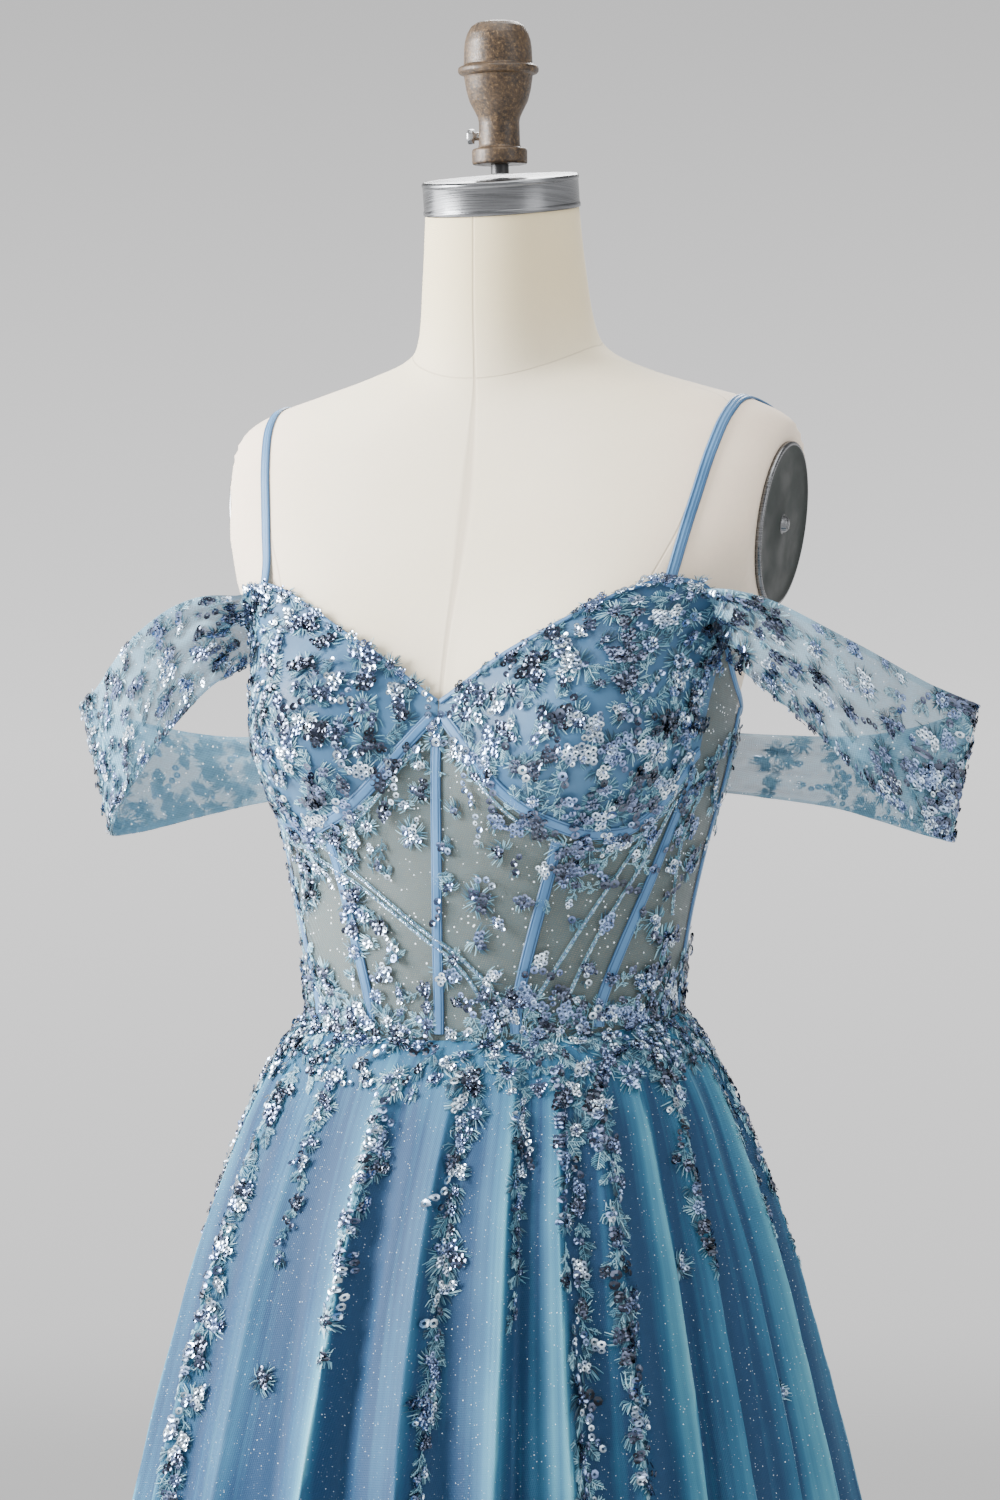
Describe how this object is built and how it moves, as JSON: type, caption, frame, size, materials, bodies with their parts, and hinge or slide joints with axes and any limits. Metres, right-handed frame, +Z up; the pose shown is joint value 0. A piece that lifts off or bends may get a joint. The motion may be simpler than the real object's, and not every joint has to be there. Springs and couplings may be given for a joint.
{
  "type": "a-line prom dress worn on a limbless dress form with a stand",
  "caption": "Floor-length off-shoulder evening dress with a boned sheer bodice, lace and a full folded tulle skirt, on a limbless dress form and round stand.",
  "frame": {"origin": "centre of the underside of the round stand base, on the floor", "axes": "+Z up along the pole, -Y towards the front of the dress, +X towards the wearer's left"},
  "size_m": [0.8564, 0.8501, 1.7235],
  "materials": {
    "form_linen": "cream twill linen, faintly seamed",
    "brushed_steel": "turned and brushed",
    "speckled_bronze": "speckled antique bronze, worn darker at the edges",
    "dark_steel": "dark grey green, satin",
    "black_steel": "satin black",
    "cup_satin": "dusty blue satin under dense thread and sequin work",
    "sheer_mesh": "sheer grey green mesh with fine glitter",
    "satin_binding": "dusty blue satin binding",
    "glitter_tulle": "dusty blue tulle with fine glitter",
    "skirt_lining": "plain deep blue lining",
    "lace": "embroidered lace with sequins",
    "zip_metal": "blue lacquered metal"
  },
  "bodies": {
    "dress": {"form_body": "form_linen", "form_neck_cap": "brushed_steel", "form_finial_rod": "black_steel", "form_finial": "speckled_bronze", "form_finial_screw": "brushed_steel", "form_arm_plate_left": "dark_steel", "form_arm_plate_right": "dark_steel", "stand_base": "black_steel", "stand_pole": "black_steel", "bodice_front_left": "sheer_mesh", "bodice_side_front_left": "sheer_mesh", "bodice_side_left": "sheer_mesh", "bodice_side_back_left": "sheer_mesh", "bodice_back_left": "sheer_mesh", "bodice_front_right": "sheer_mesh", "bodice_side_front_right": "sheer_mesh", "bodice_side_right": "sheer_mesh", "bodice_side_back_right": "sheer_mesh", "bodice_back_right": "sheer_mesh", "cup_left": "cup_satin", "cup_right": "cup_satin", "bone_casing_centre": "satin_binding", "bone_casing_princess_left": "satin_binding", "bone_casing_princess_right": "satin_binding", "bone_casing_side_left": "satin_binding", "bone_casing_side_right": "satin_binding", "bone_casing_side_front_left": "satin_binding", "bone_casing_side_front_right": "satin_binding", "wire_casing_left": "satin_binding", "wire_casing_right": "satin_binding", "strap_left": "satin_binding", "strap_right": "satin_binding", "sleeve_left": "glitter_tulle", "sleeve_right": "glitter_tulle", "skirt_front": "glitter_tulle", "skirt_side_left": "glitter_tulle", "skirt_back_left": "glitter_tulle", "skirt_back_right": "glitter_tulle", "skirt_side_right": "glitter_tulle", "lining_back_left": "skirt_lining", "lining_back_right": "skirt_lining", "lining_front": "skirt_lining", "skirt_spray_01": "lace", "skirt_spray_02": "lace", "skirt_spray_03": "lace", "skirt_spray_04": "lace", "skirt_spray_05": "lace", "skirt_spray_06": "lace", "skirt_spray_07": "lace", "skirt_spray_08": "lace", "skirt_spray_09": "lace", "skirt_spray_10": "lace", "waist_lace_left": "lace", "waist_lace_right": "lace", "cup_lace_left": "lace", "cup_lace_right": "lace", "zip_teeth": "zip_metal", "zip_slider": "zip_metal"},
    "zip_pull": {"zip_pull": "zip_metal"}
  },
  "joints": [
    {"name": "zip_pull_swing", "type": "hinge", "parent": "dress", "child": "zip_pull", "pos_m": [0, 0.11622, 1.245], "axis": [1, 0, 0], "range_deg": [0, 150]}
  ]
}
